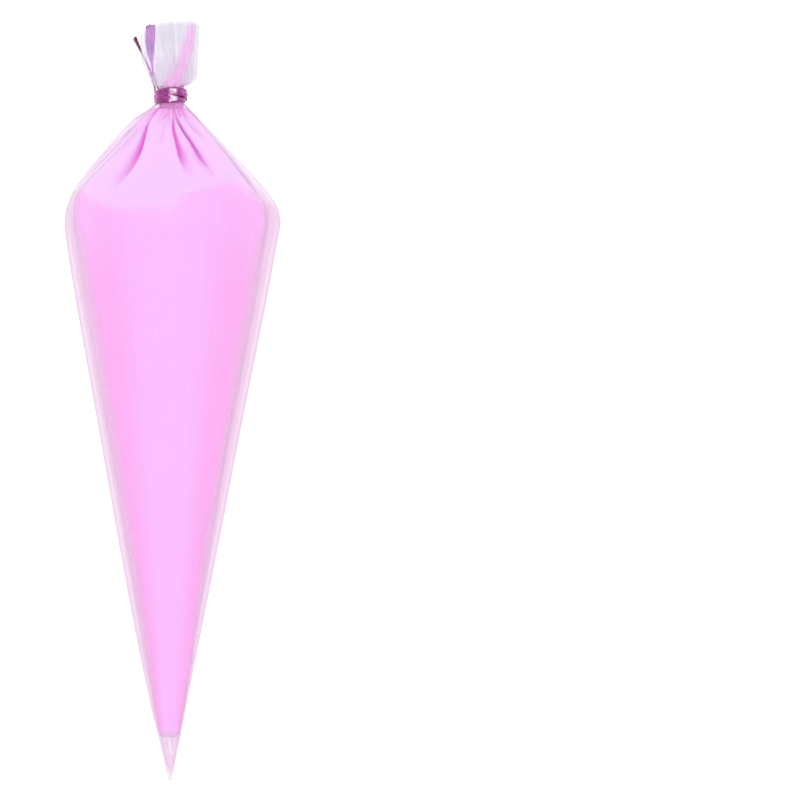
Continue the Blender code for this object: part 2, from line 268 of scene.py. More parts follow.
# the milky last few millimetres of the tip
tipEnd = {"line": [(0, -0.7, 0.9), (3, -0.75, 1.1), (7, -0.8, 1.4)], "strength": 0.55, "ends": (0.2, 4)}
highlightsAcross = [  # painted highlights along edges where film lets go of the icing: rows of (x, s, half-width)
    {"line": [(4.9, 226.0, 0.25), (6.0, 224.7, 0.35), (7.4, 224.2, 0.35), (9.4, 225.3, 0.2)],
     "strength": 0.75, "ends": (0.8, 0.8)},
    {"line": [(11.4, 225.0, 0.2), (14, 225.1, 0.3), (17.2, 226.0, 0.2)], "strength": 0.6, "ends": (1.5, 1.5)},
    {"line": [(-32, 221.6, 0.3), (-29, 219.2, 0.35), (-26, 218.0, 0.25)], "strength": 0.4,
     "ends": (1.5, 1.5)},
    {"line": [(27, 224.6, 0.2), (31, 221.6, 0.3), (35.5, 219.4, 0.25)], "strength": 0.4, "ends": (2, 2)},
]
# where the icing stops touching the front film: (x, s)
wetLine = [(-40, 226.5), (-35, 224.0), (-29, 219.6), (-20, 216.2), (-8, 216.8), (1, 216.5), (5.5, 221.5),
           (11, 223.8), (17, 225.6), (22, 227.0), (27, 224.6), (32, 221.5), (40, 219.0)]


def halfWidths(s):  # over the welds, and of the icing to the left and to the right
    wide = curveThrough(bag["outline"], s)
    return wide, wide - curveThrough(bag["rimLeft"], s), wide - curveThrough(bag["rimRight"], s)


# half-width over the welds, then half-width, half-height, middle and centre of the filled part, and the lean
def section(s):
    wide, left, right = halfWidths(s)
    filled = (left + right) / 2
    tall = bag["roundness"] * filled
    _, leftmost, rightmost = halfWidths(bag["widest"])
    rest = bag["settled"] * (bag["roundness"] * ((leftmost + rightmost) / 2))
    beyond = np.clip((s - bag["widest"]) / (bag["neckStart"] - bag["widest"]), 0, 1)
    middle = np.where(s > bag["widest"], rest + (neckZ - rest) * beyond, bag["settled"] * tall)
    empty = 1 - fade(*bag["tipEmpty"], s)
    tall = tall + (bag["tipTall"] * np.clip(s / bag["tipFull"], 0.05, 1) - tall) * empty
    middle = middle + (bag["tipMiddle"] - middle) * empty
    lean = curveThrough(bag["lean"], s)
    return wide, filled, tall, middle, (right - left) / 2 + lean, lean


# the shape of a fold; a pair is a length and its growth with each millimetre of the fold's half-width
foldShape = {"rise": 0.35, "steepSide": (0.45, 0.15), "softSide": 1.25, "valleyPower": 1.6, "valley": 0.8,
             "lipAt": (1.1, 0.4), "lipWide": (0.5, 0.3), "lip": 0.2, "fullDepthAt": 14,
             "darkSteep": 0.35, "darkSoft": 1.35, "darkPower": 1.8}
# dark is painted shade in the valleys of the fine creases near the tie
gather = {"from": 240, "to": 256, "depth": 0.035, "dark": 0.45, "darkFrom": 248, "darkTo": 257}


def widened(pair, wide):
    return pair[0] + pair[1] * wide


def pleats(angle, s, lines):  # how far the film is pushed out, and how much painted shade it gets in a fold
    _, filled, _, _, centre, _ = section(s)
    across = centre + np.cos(angle) * filled
    push, deep = np.zeros_like(s), np.zeros_like(s)
    for fold in lines:
        line = fold["line"]
        first, last = line[0][0], line[-1][0]
        at = np.clip(s, first, last)
        gap = (across - curveThrough(line, at)) * fold["soft"]
        wide = straightThrough(line, at, 2)
        shown = fade(first, first + foldShape["rise"] * (last - first), s)
        reach = np.where(gap < 0, widened(foldShape["steepSide"], wide), foldShape["softSide"] * wide)
        valley = np.exp(-np.abs(gap / reach) ** foldShape["valleyPower"])
        lip = (gap + widened(foldShape["lipAt"], wide)) / widened(foldShape["lipWide"], wide)
        lip = np.exp(-(lip ** 2))
        room = np.clip(filled / foldShape["fullDepthAt"], 0.2, 1)
        push += shown * fold["depth"] * room * (foldShape["lip"] * lip - foldShape["valley"] * valley)
        reach = np.where(gap < 0, foldShape["darkSteep"], foldShape["darkSoft"] * wide)
        shade = np.exp(-np.abs(gap / reach) ** foldShape["darkPower"])
        shade *= 0.55 + 0.45 * fade(232, 243, s)  # paler at the wide end, and again close to the tie
        shade *= 1 - 0.55 * fade(248, 254, s)
        deep = np.maximum(deep, shown * shade * fold["dark"])
    # the fine, uneven creases that run into the tie, with painted shade in their valleys
    waves = np.sin(11 * angle + 1.7 * np.sin(2 * angle + 0.4)) + 0.7 * np.sin(19 * angle + 0.9)
    push += fade(gather["from"], gather["to"], s) * filled * gather["depth"] * waves
    dark = gather["dark"] * fade(gather["darkFrom"], gather["darkTo"], s)
    deep = np.maximum(deep, dark * np.clip(-waves, 0, 1))
    return push, deep


slack = {"depth": 0.12, "spacing": 13, "drift": 47, "grows": (30, 90), "ends": (205, 225)}


def ripples(angle, s):  # the slight slack of the filled cone
    soft = np.sin(s / slack["spacing"] + 2.0 * np.cos(angle)) * np.sin(3 * angle + s / slack["drift"])
    return slack["depth"] * soft * fade(*slack["grows"], s) * (1 - fade(*slack["ends"], s))


def onSection(angle, s, push):  # x and z of the filled part's surface, pushed out by so much
    _, filled, tall, middle, centre, _ = section(s)
    grown = 1 + push / np.maximum(filled, 1)
    return centre + filled * np.cos(angle) * grown, middle + tall * np.sin(angle) * grown


def dryness(x, s):  # 1 where the film is clear of the icing
    edge = straightThrough(wetLine, x) + 0.5 * np.sin(1.1 * x) + 0.35 * np.sin(2.7 * x + 1)
    return fade(-1.5, 3.5, s - edge) * (1 - 0.7 * fade(250, 256, s))  # the neck is smeared again


# rows of (share of the grid, s), which puts the rows closer together over the tip and the shoulder
icing = {"grid": (260, 260), "rows": [(0, 18.3), (0.03, 19.5), (0.3, 180), (0.42, 212), (0.9, 252), (1, 257)],
         "roundedEnds": (0.03, 0.02), "lowest": 0.25, "seamSoft": 0.15, "tipShade": (18.5, 21)}


def makeIcing(look):
    piece, u, v = addGrid("icing", *icing["grid"])
    s = curveThrough(icing["rows"], v)
    angle = 2 * math.pi * u
    front = fade(-icing["seamSoft"], icing["seamSoft"], np.sin(angle))
    pushFront, deepFront = pleats(angle, s, frontFolds)
    pushBack, deepBack = pleats(angle, s, backFolds)
    push = front * pushFront + (1 - front) * pushBack + ripples(angle, s)
    x, z = onSection(angle, s, push - bag["filmRoom"])
    nearTip, nearNeck = icing["roundedEnds"]
    shut = np.clip(np.minimum(v / nearTip, (1 - v) / nearNeck), 0, 1) ** 0.5
    _, filled, _, middle, centre, _ = section(s)
    x, z = centre + (x - centre) * shut, middle + (z - middle) * shut
    shapeGrid(piece, x, s, np.maximum(z, icing["lowest"]))
    # painted shade in the folds
    paint(piece, "foldShade", front * deepFront + (1 - front) * deepBack)
    paint(piece, "dry", dryness(x, s) * front)
    # a deeper pink towards the sides, painted as shade and fainter from the widest part on; the neck takes
    # the same deeper pink
    calm = 1 - 0.55 * fade(185, 215, s)
    flank = fade(0.25, 0.8, np.abs(x - centre) / np.maximum(filled, 1)) * calm
    paint(piece, "flank", np.maximum(flank, fade(249, 256, s)))
    paint(piece, "end", 1 - fade(*icing["tipShade"], s))
    closeUp(piece)
    finishPiece(piece, look)
    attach(piece, "bag")
    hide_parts("icing_fill")
    print("icing done")


def weldWidth(s):  # the weld narrows at the tip and towards the neck
    return 0.6 + 0.5 * fade(20, 200, s) * (1 - fade(232, 250, s))


def finWave(s, side):  # the fins flutter a little
    wave = np.sin(s / 9.0 + side) + 0.6 * np.sin(s / 4.1 + 2 * side)
    return 0.2 * wave * fade(40, 110, s) * (1 - fade(225, 250, s))


def followTip(piece):  # bakes the piece's placement into its mesh
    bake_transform(piece)


ply = {
    "grid": (190, 245),
    "rows": [(0, 0.3), (0.07, 20), (0.33, 175), (0.46, 214), (0.88, 252), (1, bag["filmEnd"])],
    "fin": 0.055,  # the share of the grid on each side that is the flat edge outside the icing
    "weldLap": 0.4,
    "apart": 0.09,
    "lowest": 0.12,
    "clearTip": (16, 19),
    # rows of (s, width of the milky edge on the left, and on the right)
    "veil": [(0, 2.0, 1.6), (18, 1.8, 1.4), (32, 3.4, 1.7), (47, 5.4, 2.4), (85, 7.6, 6.8), (138, 8.8, 8.0),
             (183, 10.0, 10.0), (206, 9.0, 9.5), (214, 7.0, 8.6), (222, 4.6, 7.6), (230, 3.4, 4.6),
             (245, 2.6, 2.6), (255, 0.6, 0.6), (266, 0.5, 0.5)],
    "veilPower": 1.3,
    # glint: a painted highlight line just inside the welded edge
    "glint": {"strength": 0.3, "in": 1.6, "wide": 0.4, "grows": (40, 70), "ends": (200, 218)},
}


def makePly(name, up, lines, look, nodes):
    piece, u, v = addGrid(name, *ply["grid"])
    s = curveThrough(ply["rows"], v)
    wide, filled, _, middle, centre, lean = section(s)
    fin = ply["fin"]
    inner = np.clip((u - fin) / (1 - 2 * fin), 0, 1)
    side = np.where(u < 0.5, 1, -1)
    edge = np.maximum(wide - ply["weldLap"] * weldWidth(s) + side * (lean - centre), filled + 0.02)
    tangent = np.arccos(np.clip(filled / edge, -1, 1))
    angle = np.where(u < 0.5, tangent + (math.pi / 2 - tangent) * 2 * inner,
                     math.pi / 2 + (math.pi / 2 - tangent) * (2 * inner - 1))
    push, deep = pleats(angle, s, lines)
    x, z = onSection(angle, s, push + ripples(angle, s))
    out = np.clip(np.maximum(fin - u, u - (1 - fin)) / fin, 0, 1)
    x = x + (centre + side * edge - x) * out
    z = middle + up * (z - middle)
    z = z + (middle + up * ply["apart"] - z) * out + finWave(s, side) * out
    shapeGrid(piece, x, s, np.maximum(z, ply["lowest"]))
    away = wide - np.abs(x - lean)
    band = np.where(x < lean, curveThrough(ply["veil"], s, 1), curveThrough(ply["veil"], s, 2))
    paint(piece, "veil", np.clip(1 - away / band, 0, 1) ** ply["veilPower"])
    paint(piece, "dry", dryness(x, s) if up > 0 else fade(222, 226, s))
    # a painted highlight line inside the weld, and painted highlight strokes, with the milky tip end
    line = ply["glint"]
    glint = line["strength"] * np.exp(-((away - line["in"]) / line["wide"]) ** 2)
    glint *= fade(*line["grows"], s) * (1 - fade(*line["ends"], s))
    bright = np.maximum(marks([*highlightLines, tipEnd], x, s), marks(highlightsAcross, s, x))
    paint(piece, "pale", np.maximum(glint, bright if up > 0 else 0))
    paint(piece, "line", marks(finLines, x, s) if up > 0 else np.zeros_like(s))
    # painted shade in the folds and in the short creases under the tie
    paint(piece, "foldShade", np.maximum(deep, marks(neckLines, x, s) if up > 0 else 0))
    paint(piece, "clear", 1 - fade(*ply["clearTip"], s))
    thicken(piece, bag["ply"] * mm, -1.0 if up > 0 else 1.0)
    finishPiece(piece, look)
    followTip(piece)
    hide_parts(*nodes)
    print(name, "done")


seam = {"grid": (12, 420), "rows": [(0, 0.0), (0.1, 20), (0.55, 170), (0.8, 226), (1, 258.2)],
        "tall": 0.16, "crimp": 0.25, "crimpPitch": 0.9, "ends": 0.004, "lowest": 0.02}


def makeSeam(name, side, look, nodes):
    piece, u, v = addGrid(name, *seam["grid"])
    s = curveThrough(seam["rows"], v)
    wide, _, _, middle, _, lean = section(s)
    turn = 2 * math.pi * u
    half = np.minimum(0.5 * weldWidth(s), 0.5 * wide)
    crimp = 1 + seam["crimp"] * np.sin(s * 2 * math.pi / seam["crimpPitch"])
    shut = np.clip(np.minimum(v, 1 - v) / seam["ends"], 0, 1)
    x = lean + side * (wide - half + half * np.cos(turn) * (0.2 + 0.8 * shut))
    z = middle + finWave(s, side) + seam["tall"] * crimp * np.sin(turn) * shut
    shapeGrid(piece, x, s, np.maximum(z, seam["lowest"]))
    paint(piece, "near", fade(12, 60, s) * (1 - fade(222, 246, s)))
    closeUp(piece)
    finishPiece(piece, look)
    followTip(piece)
    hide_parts(*nodes)
    print(name, "done")


# the film above the tie: its sides are rows of (share of the way up, x), and its top rows of (x, s)
mouth = {
    "grid": (150, 120),
    "start": 260.0,
    "left": [(0, -4.2), (0.08, -4.5), (0.152, -4.9), (0.17, -6.9), (0.3, -8.2), (0.42, -9.3), (0.56, -10.9),
             (0.85, -11.3), (1, -11.4)],
    "right": [(0, 4.2), (0.08, 4.5), (0.152, 4.9), (0.17, 6.9), (0.24, 9.0), (0.3, 9.6), (0.42, 9.8),
              (0.7, 10.2), (1, 10.6)],
    "top": [(-12, 283.8), (-11.2, 284.4), (-8.8, 287.5), (-6.1, 288.5), (-0.4, 289.7), (5.3, 290.0),
            (8, 289.7), (9.8, 289.2), (10.7, 288.0)],
    "round": 3.8,
    "apart": 0.12,
    "open": (0.5, 0.9),  # how far the plies part at the tie, and how much further at the edge
    "fine": 0.3,
    "broad": 0.45,
    "slack": 0.25,
    "rim": (1.3, 0.05),  # the rim's width at the sides, and its share of the height at the top
    "bend": (264.2, 269.5),  # where the film would start to follow the mouth's joint, and where it would follow fully
    "seamGrid": (12, 90),
    "seamFrom": 0.25,
    "seamHalf": 0.4,
    "seamTall": 0.15,
}
residue = [  # icing smeared inside the mouth: rows of (s, x, half-width)
    {"line": [(260.5, 0.4, 4.8), (264, 0.8, 4.2), (267.5, 1.6, 2.6)], "strength": 1.3, "ends": (0.3, 2)},
    {"line": [(261, 0.6, 5.2), (265.2, 1.1, 4.6), (267.5, 1.9, 3.4), (270, 3.2, 2.6), (274, 4.6, 2.4),
              (279.3, 6.0, 2.1), (284.2, 7.1, 1.5), (290, 7.7, 1.2)], "strength": 0.85, "ends": (0.5, 4)},
    {"line": [(266, -1.6, 0.5), (270, -0.9, 0.35), (274.4, 0.5, 0.3), (277, 1.6, 0.25)], "strength": 0.9},
    {"line": [(268.5, 4.4, 0.4), (271.7, 4.9, 0.35), (274.7, 5.9, 0.4), (279.3, 7.7, 0.45),
              (284.2, 8.1, 0.35), (289.5, 7.6, 0.3)], "strength": 1.2},
]
clearPatch = {"left": -9.7, "right": -5.6, "from": 268.0, "edge": 0.5}  # film pressed on the wide tail


def followMouth(piece):
    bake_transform(piece)


def topAt(x, rise):  # s of the point that is this share of the way from the tie to the mouth's edge
    return mouth["start"] + (straightThrough(mouth["top"], x) - mouth["start"]) * rise


def makeMouthPly(name, up, look, node):
    piece, u, v = addGrid(name, *mouth["grid"])
    left, right = curveThrough(mouth["left"], v), curveThrough(mouth["right"], v)
    spread = fade(0.1, 0.4, v)
    across = (1 - spread) * (1 - np.cos(math.pi * u)) / 2 + spread * u
    x = left + (right - left) * across
    s = topAt(x, v)
    bulge = np.sin(math.pi * u)
    low, high = mouth["open"]
    z = up * (mouth["round"] * (1 - fade(0.1, 0.5, v)) * bulge + mouth["apart"] + (low + high * v) * bulge)
    fine = np.sin(2 * math.pi * (6.5 * u + 0.25 * np.sin(7 * u)))
    broad = np.sin(2 * math.pi * (2.6 * u + 0.12)) + 0.5 * np.sin(2 * math.pi * (4.3 * u + 0.4 * v))
    calm = bulge ** 0.35
    z += calm * (mouth["fine"] * (1 - fade(0.2, 0.8, v)) * fine + mouth["broad"] * fade(0.2, 0.9, v) * broad)
    z += up * mouth["slack"] * calm * np.sin(2 * math.pi * (3.4 * u + 0.7 * v)) * v
    shapeGrid(piece, x, s, neckZ + z)
    paint(piece, "residue", marks(residue, x, s) if up > 0 else 0.5 * marks(residue[:2], x, s))
    rimSide, rimTop = mouth["rim"]
    inward = np.minimum(np.minimum(x - left, right - x) / rimSide, (1 - v) / rimTop)
    paint(piece, "rim", 1 - np.clip(inward, 0, 1))
    edge = clearPatch["edge"]
    inside = fade(clearPatch["left"] - edge, clearPatch["left"] + edge, x)
    inside *= 1 - fade(clearPatch["right"] - edge, clearPatch["right"] + edge, x)
    paint(piece, "pressed", inside * fade(clearPatch["from"], clearPatch["from"] + 3, s))
    thicken(piece, bag["ply"] * mm, -1.0 if up > 0 else 1.0)
    finishPiece(piece, look)
    followMouth(piece)
    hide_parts(node)
    print(name, "done")


def makeMouthSeam(name, side, look, node):
    piece, u, v = addGrid(name, *mouth["seamGrid"])
    rise = mouth["seamFrom"] + (1 - mouth["seamFrom"]) * v
    edge = curveThrough(mouth["left" if side < 0 else "right"], rise)
    s = topAt(edge, rise)
    turn = 2 * math.pi * u
    shut = np.clip(np.minimum(v, 1 - v) / 0.02, 0, 1)
    x = edge + mouth["seamHalf"] * np.cos(turn) * (0.2 + 0.8 * shut)
    shapeGrid(piece, x, s, neckZ + mouth["seamTall"] * np.sin(turn) * shut)
    paint(piece, "near", np.zeros_like(s))
    closeUp(piece)
    finishPiece(piece, look)
    followMouth(piece)
    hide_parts(node)
    print(name, "done")


neck = {"grid": (120, 50), "start": 254.5, "length": 15.5, "radius": 4.3, "taper": 3.0, "drift": 2.6,
        "flat": 0.75}


def makeNeck(look):  # the pressed layers of film inside the tie, smeared with icing
    piece, u, v = addGrid("neckGather", *neck["grid"])
    s = neck["start"] + neck["length"] * v
    angle = 2 * math.pi * u
    radius = neck["radius"] - neck["taper"] * fade(0.62, 1.0, v)
    radius = radius * (1 + 0.06 * np.sin(14 * angle) + 0.04 * np.sin(9 * angle + 1))
    radius = radius * np.clip(np.minimum(v, 1 - v) / 0.03, 0, 1) ** 0.5
    drift = neck["drift"] * fade(0.55, 1.0, v)
    shapeGrid(piece, drift + radius * np.cos(angle), s, neckZ + neck["flat"] * radius * np.sin(angle))
    # the neck takes the deeper pink painted on the icing's sides, and no painted fold shade
    for name, value in (("foldShade", 0.0), ("dry", 0.0), ("flank", 1.0), ("end", 0.0)):
        paint(piece, name, np.full_like(s, value))
    closeUp(piece)
    finishPiece(piece, look)
    followMouth(piece)
    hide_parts("neck_gather_front", "neck_gather_back")
    print("neck done")


# the twist tie: a foil strip with a wire in it, wound twice round the neck
tie = {
    "half": 1.55,
    "edge": 0.09,
    "ridge": 0.30,
    "ridgeWide": 0.5,
    "turnRadius": 5.78,
    "secondLift": 0.33,  # the second turn lies on the first
    "lower": 259.9,
    "pitch": 1.0,
    "slant": 0.1,
    "fan": 1.8,
    # where a painted highlight sits across the top of the band, and how wide it is
    "highlightAt": 1.0,
    "highlightWide": 1.35,
    "lean": 0.22,
    "leanFrom": 261.6,
    "wire": 0.2,
    "wireSides": 10,
    "first": math.radians(-100),
    "sweep": math.radians(610),
    "strandHalf": 0.85,
    "twistLength": 6.0,
    "offset": 0.47,
    "tailGap": 0.5,
    "lap": 0.8,
    "followOver": (1.2, 0.3),  # before and after the place where a lead becomes a strand
    "tailFollowOver": (0.2, 1.2),  # and where a strand becomes a tail
}
tails = {  # the strips' half-widths are rows of (share of the length, towards -x, towards +x)
    "left": {"path": {"side": -1, "splay": 10, "length": 14.6, "turned": 35},
             "halves": [(0, 0.5, 0.5), (0.4, 0.6, 0.6), (0.8, 1.1, 1.1), (1, 1.2, 1.3)], "shade": 0.75},
    "right": {"path": {"side": 1, "splay": 11, "length": 18.1, "turned": 75},
              "halves": [(0, 0.8, 0.9), (0.2, 2.3, 1.8), (0.42, 3.2, 2.2), (0.6, 2.9, 2.2), (0.8, 2.4, 2.2),
                        (1, 1.4, 2.1)], "shade": 0.0},
}


def bandPath():  # every path is a list of (point, direction across the strip, direction it faces)
    spots = []
    for angle in np.linspace(tie["first"], tie["first"] + tie["sweep"], 200):
        out = Vector((math.sin(angle), 0, math.cos(angle)))
        turns = angle / (2 * math.pi)
        fan = tie["slant"] + tie["fan"] * min(max(turns, 0), 1)
        s = tie["lower"] + tie["pitch"] * turns + fan * math.cos(angle)
        radius = tie["turnRadius"] + tie["secondLift"] * float(fade(0.3, 0.7, turns))
        spots.append((Vector((tie["lean"] * (s - tie["leanFrom"]), s, neckZ)) + out * radius, out))
    path = []
    for k, (spot, out) in enumerate(spots):
        run = (spots[min(k + 1, len(spots) - 1)][0] - spots[max(k - 1, 0)][0]).normalized()
        path.append((spot, run.cross(out).normalized() * -1, out))
    return path


def twistFrame():  # where the twisted ends start, their axis, and the first strand's two directions
    joint = joints["tie_untwist"]
    x, y, z = joint["pos_m"]
    start = Vector((x / mm, (y - tipY) / mm, z / mm))
    axis = Vector(joint["axis"]).normalized()
    face = Vector((1, 0, 0))
    face = (face - face.project(axis)).normalized()
    return start, axis, face.cross(axis).normalized(), face


def strandPath(side):
    start, axis, width, face = twistFrame()
    path = []
    for f in np.linspace(0, 1, 60):
        turn = Quaternion(axis, 2 * math.pi * (f - 1))
        n, w = turn @ face, turn @ width
        path.append((start + axis * tie["twistLength"] * f + n * side * tie["offset"], w, n * side))
    return path


def tailPath(side, splay, length, turned):
    start, axis, width, face = twistFrame()
    aside = Quaternion(width, math.radians(-splay) * side)
    run, across = aside @ axis, aside @ face
    root = start + axis * (tie["twistLength"] + tie["tailGap"]) + face * side * tie["offset"]
    path = [(root - axis * tie["lap"], width, across * side)]
    for f in np.linspace(0, 1, 60):
        turn = Quaternion(run, math.radians(turned) * f)
        path.append((root + run * length * f, turn @ width, turn @ across * side))
    return path


def leadPath(begin, end):  # a free curve from one (point, width, face, heading) to another
    reach = 0.9 * (end[0] - begin[0]).length
    first, last = (
        Matrix((width, face, width.cross(face))).transposed().to_quaternion()
        for _, width, face, _ in (begin, end)
    )
    path = []
    for t in np.linspace(0, 1, 40):
        spot = (begin[0] * (1 + 2 * t) * (1 - t) ** 2 + end[0] * t * t * (3 - 2 * t)
                + begin[3] * reach * t * (1 - t) ** 2 - end[3] * reach * t * t * (1 - t))
        turn = first.slerp(last, t * t * (3 - 2 * t))
        path.append((spot, turn @ Vector((1, 0, 0)), turn @ Vector((0, 1, 0))))
    return path


def gridAlong(name, around, path):  # a grid with one row for each point of the path
    last = len(path) - 1
    piece, u, v = addGrid(name, around, last)
    row = np.rint(v * last).astype(int)
    spots, widths, faces = (np.array(column)[row] for column in zip(*path))
    between = (row > 0) & (row < last)  # the first and last rows shrink to a point and close the ends
    return piece, 2 * math.pi * u, row, last, spots, widths, faces, between


# the painted highlight keeps to the upper side of the band and off its edges
foil = {"around": 32, "edgePower": 0.7, "dents": 9, "dentDepth": (0.015, 0.06), "overWire": 0.75,
        "overWireWide": 0.5, "highlightFrom": (4.0, 5.2), "highlightEdge": (0.75, 1.15), "edgeShade": 0.75}


def makeRibbon(name, path, look, nodes, seed, halves, shade=0.0):
    piece, turn, row, last, spots, widths, faces, between = gridAlong(name, foil["around"], path)
    share = np.sign(np.cos(turn)) * np.abs(np.cos(turn)) ** foil["edgePower"]
    half = np.where(share < 0, straightThrough(halves, row / last, 1), straightThrough(halves, row / last, 2))
    across = share * half
    ridge = tie["ridge"] * np.exp(-(across / tie["ridgeWide"]) ** 2)
    thick = np.sin(turn) / np.maximum(np.abs(np.sin(turn)), 0.35) * (tie["edge"] + ridge)
    rng = np.random.default_rng(seed)
    dents = np.zeros_like(turn)
    for _ in range(foil["dents"]):  # sharp-edged crinkles
        size = rng.uniform(*foil["dentDepth"])
        slope = rng.uniform(-2.5, 2.5)
        pace = rng.uniform(0.15, 0.9)
        start = rng.uniform(0, 6)
        dents += size * (np.abs(np.sin(slope * across + pace * row + start)) - 0.6)
    # the wire stays covered
    dents *= 1 - foil["overWire"] * np.exp(-((across / foil["overWireWide"]) ** 2))
    spots = spots + between[:, None] * (across[:, None] * widths + (thick + dents)[:, None] * faces)
    shapeGrid(piece, spots[:, 0], spots[:, 1], spots[:, 2])
    # a painted highlight: whitish patches on the upper front of the band
    front = fade(*foil["highlightFrom"], spots[:, 2] - neckZ) * (1 - fade(*foil["highlightEdge"], np.abs(across)))
    wearAndHighlight = np.exp(-(((spots[:, 0] - tie["highlightAt"]) / tie["highlightWide"]) ** 4))
    paint(piece, "paintedHighlight", wearAndHighlight * front)
    paint(piece, "shade", np.clip(shade + foil["edgeShade"] * fade(0.72, 1.0, np.abs(share)), 0, 1))
    closeUp(piece)
    finishPiece(piece, look, 30)
    if nodes:
        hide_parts(*nodes)
    print(name, "done")
    return piece


def makeBandWire(path, steel):
    piece, turn, _, _, spots, widths, faces, between = gridAlong("tieBandWire", tie["wireSides"], path)
    radius = tie["wire"] * between
    spots = spots + (radius * np.cos(turn))[:, None] * widths + (radius * np.sin(turn))[:, None] * faces
    shapeGrid(piece, spots[:, 0], spots[:, 1], spots[:, 2])
    closeUp(piece)
    finishPiece(piece, steel)
    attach(piece, "tie")
    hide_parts("tie_band_wire")


def stripHalves(first, last):  # half-widths of a strip that goes evenly from one width to another
    return [(0, first, first), (1, last, last)]


def makeTie(look, steel):
    band = bandPath()
    makeBandWire(band, steel)
    wide, narrow = tie["half"], tie["strandHalf"]
    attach(makeRibbon("tieBand", band, look, ["tie_band_foil"], 3, stripHalves(wide, wide)), "tie")
    ends = {-1: (*band[0], -(band[1][0] - band[0][0]).normalized()),
            1: (*band[-1], (band[-1][0] - band[-2][0]).normalized())}
    _, axis, _, _ = twistFrame()
    for word, tail in tails.items():
        side = tail["path"]["side"]
        strand = strandPath(side)
        joinTo = (strand[0][0] + axis * 0.3, strand[0][1], strand[0][2], axis)
        point, width, face, heading = ends[side]
        lead = leadPath((point - heading * 0.3, width, face, heading), joinTo)
        piece = makeRibbon(f"tieLead_{word}", lead, look, [], 11 + side, stripHalves(wide, narrow))
        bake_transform(piece)
        halves = stripHalves(narrow, narrow)
        piece = makeRibbon(f"tieTwist_{word}", strand, look, [f"twist_{word}_foil"], 21 + side, halves)
        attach(piece, "twist")
        path = tailPath(**tail["path"])
        piece = makeRibbon(f"tieTail_{word}", path, look, [f"tail_{word}_foil"], 31 + side, tail["halves"],
                           tail["shade"])
        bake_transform(piece)
    # the wires of the twist and the tails keep their own meshes
    for name, node in frame["nodes"].items():
        if name.endswith("_wire"):
            for held in node.material_slots:
                held.material = steel
    print("tie done")


def newMaterial(name):
    made = bpy.data.materials.new(name)
    made.use_nodes = True
    tree = made.node_tree
    return made, tree, tree.nodes["Principled BSDF"]


def feed(tree, socket, value):  # a number, a colour or another node's output
    if isinstance(value, (int, float)):
        socket.default_value = value
    elif isinstance(value, tuple):
        socket.default_value = (*value, 1)
    else:
        tree.links.new(value, socket)


def attribute(tree, name):
    node = tree.nodes.new("ShaderNodeAttribute")
    node.attribute_name = name
    return node.outputs["Fac"]


def sums(tree, operation, first, second, third=None, clamp=False):
    node = tree.nodes.new("ShaderNodeMath")
    node.operation, node.use_clamp = operation, clamp
    for socket, value in zip(node.inputs, (first, second, third)):
        if value is not None:
            feed(tree, socket, value)
    return node.outputs[0]


def mixColour(tree, factor, first, second):
    node = tree.nodes.new("ShaderNodeMix")
    node.data_type = "RGBA"
    for socket, value in zip((node.inputs[0], node.inputs[6], node.inputs[7]), (factor, first, second)):
        feed(tree, socket, value)
    return node.outputs[2]


def makeNoiseGroup(name, coordinates, settings):  # a shared noise effect, with its settings as inputs
    group = bpy.data.node_groups.new(name, "ShaderNodeTree")
    for label, value in settings.items():
        kind = "NodeSocketVector" if isinstance(value, tuple) else "NodeSocketFloat"
        group.interface.new_socket(label, in_out="INPUT", socket_type=kind).default_value = value
    group.interface.new_socket("Value", in_out="OUTPUT", socket_type="NodeSocketFloat")
    inside, outside = group.nodes.new("NodeGroupInput"), group.nodes.new("NodeGroupOutput")
    place = group.nodes.new("ShaderNodeTexCoord")
    spread = group.nodes.new("ShaderNodeVectorMath")
    spread.operation = "MULTIPLY"
    made = group.nodes.new("ShaderNodeTexNoise")
    group.links.new(place.outputs[coordinates], spread.inputs[0])
    group.links.new(inside.outputs["Stretch"], spread.inputs[1])
    group.links.new(spread.outputs[0], made.inputs["Vector"])
    for label in ("Scale", "Detail", "Roughness"):
        group.links.new(inside.outputs[label], made.inputs[label])
    group.links.new(made.outputs["Fac"], outside.inputs["Value"])
    return group


grainGroup = makeNoiseGroup(
    "grain", "Object", {"Scale": 100.0, "Detail": 3.0, "Roughness": 0.5, "Stretch": (1.0, 1.0, 1.0)})
streakGroup = makeNoiseGroup(
    "filmStreaks", "UV", {"Scale": 1.0, "Detail": 3.0, "Roughness": 0.5, "Stretch": (50.0, 3.0, 1.0)})


def grain(tree, scale, detail, rough):
    node = tree.nodes.new("ShaderNodeGroup")
    node.node_tree = grainGroup
    for label, value in (("Scale", scale), ("Detail", detail), ("Roughness", rough)):
        node.inputs[label].default_value = value
    return node.outputs["Value"]


def filmStreaks(tree, across, along):
    node = tree.nodes.new("ShaderNodeGroup")
    node.node_tree = streakGroup
    node.inputs["Stretch"].default_value = (across, along, 1)
    return node.outputs["Value"]


def bump(tree, height, strength, distance, under=None):
    node = tree.nodes.new("ShaderNodeBump")
    node.inputs["Strength"].default_value, node.inputs["Distance"].default_value = strength, distance
    tree.links.new(height, node.inputs["Height"])
    if under is not None:
        tree.links.new(under, node.inputs["Normal"])
    return node.outputs["Normal"]


# deep and violet colour the painted shade in the folds; flank is a deeper pink painted as shade towards the
# sides
icingLook = {"body": (0.91, 0.47, 0.94), "flank": (0.93, 0.39, 0.84), "deep": (0.94, 0.13, 0.83),
             "pale": (0.99, 0.60, 0.97), "lilac": (0.86, 0.60, 1.0), "violet": (0.82, 0.30, 1.0),
             "end": (0.84, 0.52, 0.86), "mottle": 0.2, "dry": 0.75, "foldShadeViolet": 1.5, "foldShadeDark": 0.9,
             "roughness": 0.5, "subsurface": 0.2, "subsurfaceRadius": (1.0, 0.45, 0.9),
             "subsurfaceScale": 0.002}


